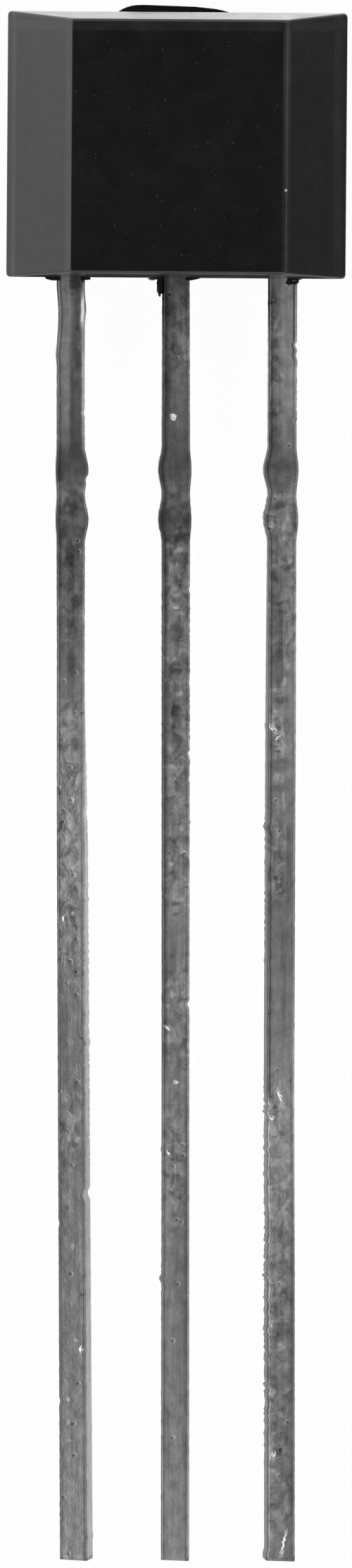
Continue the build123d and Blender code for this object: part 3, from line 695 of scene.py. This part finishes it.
def mouldingCompound():
    # Black epoxy filled with silica: satin where it lay against the polished mould, with a fine
    # spark-eroded grain, faint clouds where it flowed and a few pale grains of filler; painted
    # highlights: paler lines along the edges of the face and of the flanks and a paler band at the
    # foot of the gated end.
    material, tree, shader, spot = newMaterial("epoxyMouldingCompound", roughness=0.25, ior=1.55)
    spot = addNode(tree, "Mapping", {  # turned onto the body's own axes
        "Vector": spot, "Rotation": (0, 0, math.radians(device["bodyTurn"]))})
    x, y, z = addNode(tree, "SeparateXYZ", [spot]).outputs
    clouds = addNode(tree, "TexNoise", {
        "Vector": stretched(tree, spot, resinLook["cloudSize"]), "Scale": 1.0, "Detail": 4.0,
        "Roughness": 0.6, "Distortion": 0.5})
    grain = addNode(tree, "TexNoise", {
        "Vector": stretched(tree, spot, resinLook["grainSize"]), "Scale": 1.0, "Detail": 2.0})
    cells = addNode(tree, "TexVoronoi", {
        "Vector": stretched(tree, spot, resinLook["fillerSize"]), "Scale": 1.0})
    filler = dotsOf(tree, cells, resinLook["fillerEdge"], resinLook["fillerShare"])
    # a small pale, slightly raised spot on the right edge of the face
    away = addNode(tree, "VectorMath", [spot, resinLook["chip"]], operation="DISTANCE")
    chip = addNode(tree, "MapRange", [
        away.outputs["Value"], resinLook["chipSize"], resinLook["chipSize"] / 2])

    # painted highlights along the edges of the face and flanks and at the foot of the gated end
    paintedHighlight = 0.0
    for middle, halfWidth, top, foot in resinLook["paintedEdgeHighlights"]:
        line = softStrip(tree, x, middle - halfWidth, middle + halfWidth,
                         halfWidth * resinLook["edgeHighlightFade"])
        along = addNode(tree, "MapRange", [y, *resinLook["edgeHighlightRun"], foot, top])
        line = addNode(tree, "Math", [line, along], operation="MULTIPLY")
        paintedHighlight = addNode(tree, "Math", [paintedHighlight, line], operation="MAXIMUM")
    low, high, amount = resinLook["topHighlightBand"]
    band = softStrip(tree, y, low, high, resinLook["bandFade"])
    band = addNode(tree, "Math", [band, amount], operation="MULTIPLY")
    paintedHighlight = addNode(tree, "Math", [paintedHighlight, band], operation="MAXIMUM")
    patches = addNode(tree, "TexNoise", {
        "Vector": stretched(tree, spot, resinLook["highlightPatchSize"]), "Scale": 1.0,
        "Detail": 3.0})
    uneven = addNode(tree, "MapRange", [patches, *noiseRange, *resinLook["highlightPatchLight"]])
    above = addNode(tree, "MapRange", [z, *resinLook["highlightAbove"]])
    for part in (uneven, above):
        paintedHighlight = addNode(tree, "Math", [paintedHighlight, part], operation="MULTIPLY")

    # pale grains of filler and the painted highlights take the same paler colour
    pale = addNode(tree, "Math", [filler, resinLook["fillerStrength"]], operation="MULTIPLY")
    pale = addNode(tree, "Math", [pale, paintedHighlight], operation="MAXIMUM")
    tone = addNode(tree, "Mix", {
        "Factor": pale, "A": linearColor(resinLook["color"]),
        "B": linearColor(resinLook["fillerAndHighlightColor"])}, data_type="RGBA").outputs[2]
    tone = addNode(tree, "Mix", {
        "Factor": chip, "A": tone, "B": linearColor(resinLook["chipColor"])},
        data_type="RGBA").outputs[2]
    light = addNode(tree, "MapRange", [clouds, *noiseRange, *resinLook["cloudLight"]])
    setInputs(tree, shader, {
        "Base Color": addNode(tree, "VectorMath", {0: tone, "Scale": light}, operation="SCALE"),
        "Roughness": addNode(tree, "MapRange", [clouds, *noiseRange, *resinLook["roughness"]]),
        "Normal": reliefOf(
            tree, (grain, resinLook["grainRelief"]), (clouds, resinLook["cloudRelief"]),
            (pale, resinLook["fillerAndHighlightRelief"]), (chip, resinLook["chipRelief"])),
    })
    return material


resin = mouldingCompound()
setMaterial(frame["nodes"]["moulded_body"], resin)
print("body done")


# Resin that crept out beside the leads.
flashShape = {
    "steps": 3,
    "tornCoarse": 1.3,  # how often the tearing turns over half a lump, and its finer share
    "tornFine": 3.1,
    "fineShare": 0.5,
    "torn": 0.45,
    "apart": 7.0,  # shift of the noise from lump to lump
    "sharpAngle": 40,
}
# x, y, z of the middle and half the width, length and height of each torn lump
flashLumps = [
    (-1.487, 0.004, -0.05, 0.075, 0.024, 0.06), (-1.44, -0.006, -0.04, 0.03, 0.02, 0.05),
    (-1.075, 0.000, -0.05, 0.050, 0.026, 0.06), (-1.13, -0.03, -0.01, 0.03, 0.05, 0.022),
    (-0.272, -0.006, -0.06, 0.055, 0.022, 0.06), (-0.205, -0.10, -0.06, 0.026, 0.10, 0.05),
    (-0.196, -0.19, -0.06, 0.016, 0.035, 0.04), (0.175, -0.004, -0.05, 0.065, 0.026, 0.06),
    (0.255, 0.004, -0.05, 0.05, 0.016, 0.05), (1.425, -0.03, -0.03, 0.050, 0.055, 0.05),
    (1.355, -0.055, -0.005, 0.035, 0.040, 0.025), (1.47, -0.006, -0.04, 0.04, 0.022, 0.05),
]


def makeFlash(material):
    bm = bmesh.new()
    for number, (x, y, z, *halves) in enumerate(flashLumps):
        shift = number * flashShape["apart"]
        lump = bmesh.ops.create_icosphere(bm, subdivisions=flashShape["steps"], radius=1.0)
        for v in lump["verts"]:
            rough = noise.noise(v.co * flashShape["tornCoarse"] + Vector((shift, 0, 0)))
            rough += flashShape["fineShare"] * noise.noise(
                v.co * flashShape["tornFine"] + Vector((0, shift, 0)))
            swollen = v.co * (1 + flashShape["torn"] * rough)
            offset = Vector(part * half for part, half in zip(swollen, halves))
            v.co = fromDevice @ ((Vector((x, y, z)) + offset) * mm)
    piece = finishPiece("resinFlash", bm, material, flashShape["sharpAngle"])
    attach(piece, "root")


makeFlash(resin)
print("flash done")


# Die, adhesive and wires inside the body.
insideLook = {
    "silicon": "#34363c",
    "aluminium": "#b9bbbd",
    "trackSize": (0.045, 0.045, 0.045),  # coarser than the real few micrometres
    "trackRows": {"Mortar Size": 0.12, "Brick Width": 2.4, "Row Height": 1.0},
    "trackShare": (0.3, 0.9),
    "trackRelief": 0.001,
    "hazeSize": (0.2, 0.2, 0.2),
    "siliconRoughness": (0.10, 0.22),
    "adhesive": "#a2a19d",
    "flakeSize": (0.012, 0.012, 0.012),
    "flakeLight": (0.2, 0.9, 0.6, 1.25),  # from and to of the flakes' own numbers and lightness
    "flakeRoughness": (0.6, 0.9, 0.55, 0.25),
    "flakeRelief": 0.002,
    "gold": "#ffdb93",
    "drawnSize": (0.004, 0.05, 0.004),
    "drawnLight": (0.85, 1.05),
    "drawnRoughness": (0.16, 0.28),
}


def polishedSilicon():
    # A sawn chip of silicon: dark mirror with the fine bright rows of the circuit's metal on top.
    material, tree, shader, spot = newMaterial("siliconChip", roughness=0.12, ior=3.9)
    rows = addNode(tree, "TexBrick", {
        "Vector": stretched(tree, spot, insideLook["trackSize"]), "Scale": 1.0,
        **insideLook["trackRows"]})
    haze = addNode(tree, "TexNoise", {
        "Vector": stretched(tree, spot, insideLook["hazeSize"]), "Scale": 1.0, "Detail": 2.0})
    covered = addNode(tree, "MapRange", [haze, *noiseRange, *insideLook["trackShare"]])
    tracks = addNode(tree, "Math", [rows.outputs["Fac"], covered], operation="MULTIPLY")
    setInputs(tree, shader, {
        "Base Color": addNode(tree, "Mix", {
            "Factor": tracks, "A": linearColor(insideLook["silicon"]),
            "B": linearColor(insideLook["aluminium"])}, data_type="RGBA").outputs[2],
        "Roughness": addNode(tree, "MapRange", [
            haze, *noiseRange, *insideLook["siliconRoughness"]]),
        "Normal": reliefOf(tree, (tracks, insideLook["trackRelief"])),
    })
    return material


def silverAdhesive():
    # Epoxy packed with silver flakes: dull grey paste, glinting where a flake lies flat.
    material, tree, shader, spot = newMaterial("silverFilledEpoxy", roughness=0.45, metallic=0.6)
    flakes = addNode(tree, "TexVoronoi", {
        "Vector": stretched(tree, spot, insideLook["flakeSize"]), "Scale": 1.0})
    light = addNode(tree, "MapRange", [flakes.outputs["Color"], *insideLook["flakeLight"]])
    setInputs(tree, shader, {
        "Base Color": addNode(tree, "VectorMath", {
            0: linearColor(insideLook["adhesive"])[:3], "Scale": light}, operation="SCALE"),
        "Roughness": addNode(tree, "MapRange", [
            flakes.outputs["Color"], *insideLook["flakeRoughness"]]),
        "Normal": reliefOf(tree, (flakes, insideLook["flakeRelief"])),
    })
    return material


def drawnGold():
    # Fine gold wire drawn through a die: warm bright metal with faint lengthwise drawing marks.
    material, tree, shader, spot = newMaterial("drawnGoldWire", roughness=0.2, metallic=1.0)
    marks = addNode(tree, "TexNoise", {
        "Vector": stretched(tree, spot, insideLook["drawnSize"]), "Scale": 1.0, "Detail": 2.0})
    light = addNode(tree, "MapRange", [marks, *noiseRange, *insideLook["drawnLight"]])
    setInputs(tree, shader, {
        "Base Color": addNode(tree, "VectorMath", {
            0: linearColor(insideLook["gold"])[:3], "Scale": light}, operation="SCALE"),
        "Roughness": addNode(tree, "MapRange", [
            marks, *noiseRange, *insideLook["drawnRoughness"]]),
    })
    return material


gold = drawnGold()
setMaterial(frame["nodes"]["sensor_die"], polishedSilicon())
setMaterial(frame["nodes"]["die_attach"], silverAdhesive())
for wireName in ("bond_wire_supply", "bond_wire_ground", "bond_wire_output"):
    setMaterial(frame["nodes"][wireName], gold)
print("inside done")


# Table, light and camera.
studio = {
    "tableColor": "#f8f8f8",
    "tableSize": 4000,  # side of the square table top
    "tableGap": 0.002,  # between it and the part
    "tableWhite": 0.97,  # share of plain white that the eye and reflections see
    "tableFar": 1.7,  # its brightness in reflections beyond the gated end, a painted pool of light
    "tableDim": 0.24,  # painted dimmer on the right, away from the light
    "tableDimFrom": (1.5, 5),
    "tableShade": 0.0,  # and beside the body's lead end: a painted shadow of the body
    "tableShadeRun": (-0.6, 0.5),  # from the lead end, along the body
    "tableFade": 0.3,
    "overhead": 0.06,  # brightness above, round the camera
    "overheadFrom": (0.72, 0.86),  # height over which it takes over, with 1 straight above
    "slanting": (1.9, 1.0),  # of the soft light that comes down at a slant, left and right
    "slantingRun": (-0.7, 0.7),
    "slantingFrom": (0.12, 0.45),
    "low": (1.8, -0.6),  # low down on the left and right
    "lowLeast": 0.1,
    "cameraDistance": 195,
    "viewHeight": 18.855,
    "aside": (-0.010, 0.024),  # of what the camera looks at, from the middle of the part
    "fromLeft": 1.9,  # degrees that it looks from the left
    "fromGatedEnd": 2.3,  # and from beyond the gated end
}


def makeTable():
    bm = bmesh.new()
    bmesh.ops.create_grid(bm, x_segments=1, y_segments=1, size=studio["tableSize"] * mm / 2)
    bmesh.ops.translate(bm, verts=bm.verts, vec=(0, 0, cadLow.z - studio["tableGap"] * mm))
    material, tree, shader, _ = newMaterial("whiteTable", roughness=0.9)
    setInputs(tree, shader, {"Base Color": linearColor(studio["tableColor"])})
    x, y, _ = addNode(tree, "SeparateXYZ", [addNode(tree, "TexCoord").outputs["Object"]]).outputs
    leadEnd = fromDevice.translation.y
    gatedEnd = leadEnd + device["bodyHeight"] * mm
    halfBody = device["bodyWidth"] / 2 * mm
    fade = studio["tableFade"] * mm
    dimStart, dimEnd = (place * mm for place in studio["tableDimFrom"])
    shadeStart, shadeEnd = (leadEnd + place * mm for place in studio["tableShadeRun"])
    # the table glows for reflections with painted light and shade: a painted pool of light beyond
    # the gated end, dimmer to the right, and a painted shadow beside the body's lead end
    lit = addNode(tree, "MapRange", [x, dimStart, dimEnd, 1.0, studio["tableDim"]], **softly)
    beside = addNode(tree, "Math", [
        softStrip(tree, y, shadeStart, shadeEnd, fade),
        softStrip(tree, x, -halfBody, halfBody, fade)], operation="MULTIPLY")
    shade = addNode(tree, "MapRange", [beside, 0.0, 1.0, 1.0, studio["tableShade"]])
    far = addNode(tree, "MapRange", [y, gatedEnd - fade, gatedEnd, 1.0, studio["tableFar"]])
    for part in (shade, far):
        lit = addNode(tree, "Math", [lit, part], operation="MULTIPLY")
    ray = addNode(tree, "LightPath").outputs
    glow = addNode(tree, "Mix", {"Factor": ray["Is Camera Ray"], "A": lit, "B": 1.0})
    seen = addNode(tree, "Math", [ray["Is Glossy Ray"], ray["Is Transmission Ray"]],
                   operation="MAXIMUM")
    seen = addNode(tree, "Math", [ray["Is Camera Ray"], seen], operation="MAXIMUM")
    seen = addNode(tree, "Math", [seen, studio["tableWhite"]], operation="MULTIPLY")
    white = addNode(tree, "Emission", {"Color": (1, 1, 1, 1), "Strength": glow})
    mixed = addNode(tree, "MixShader", [seen, shader, white])
    setInputs(tree, tree.nodes["Material Output"], {"Surface": mixed})
    finishPiece("table", bm, material)


def makeSoftLight():
    world = bpy.data.worlds.new("softTent")
    bpy.context.scene.world = world
    world.use_nodes = True
    tree = world.node_tree
    x, _, z = addNode(tree, "SeparateXYZ", [addNode(tree, "TexCoord").outputs["Generated"]]).outputs
    side = addNode(tree, "MapRange", [x, -1.0, 1.0, *studio["low"]])
    side = addNode(tree, "Math", [side, studio["lowLeast"]], operation="MAXIMUM")
    slanting = addNode(tree, "MapRange", [x, *studio["slantingRun"], *studio["slanting"]])
    raised = addNode(tree, "MapRange", [z, *studio["slantingFrom"]], **softly)
    high = addNode(tree, "MapRange", [z, *studio["overheadFrom"]], **softly)
    low = addNode(tree, "Mix", {"Factor": raised, "A": side, "B": slanting})
    strength = addNode(tree, "Mix", {"Factor": high, "A": low, "B": studio["overhead"]})
    ray = addNode(tree, "LightPath").outputs
    shown = addNode(tree, "Mix", {"Factor": ray["Is Camera Ray"], "A": strength, "B": 1.0})
    setInputs(tree, tree.nodes["Background"], {"Color": (1, 1, 1, 1), "Strength": shown})


def makeCamera():
    camera = bpy.data.cameras.new("camera")
    camera.lens = camera.sensor_width * studio["cameraDistance"] / studio["viewHeight"]
    camera.clip_start, camera.clip_end = 0.01, 10
    obj = bpy.data.objects.new("camera", camera)
    bpy.context.scene.collection.objects.link(obj)
    middle = (cadLow + cadHigh) / 2
    target = Vector((middle.x, middle.y, fromDevice.translation.z))
    turn = Matrix.Rotation(-math.radians(studio["fromLeft"]), 4, "Y")
    turn @= Matrix.Rotation(-math.radians(studio["fromGatedEnd"]), 4, "X")
    offset = Vector((*studio["aside"], studio["cameraDistance"])) * mm
    obj.matrix_world = Matrix.Translation(target) @ turn @ Matrix.Translation(offset)
    bpy.context.scene.camera = obj


makeTable()
makeSoftLight()
makeCamera()
bpy.context.scene.view_settings.view_transform = "Standard"
print("studio done")
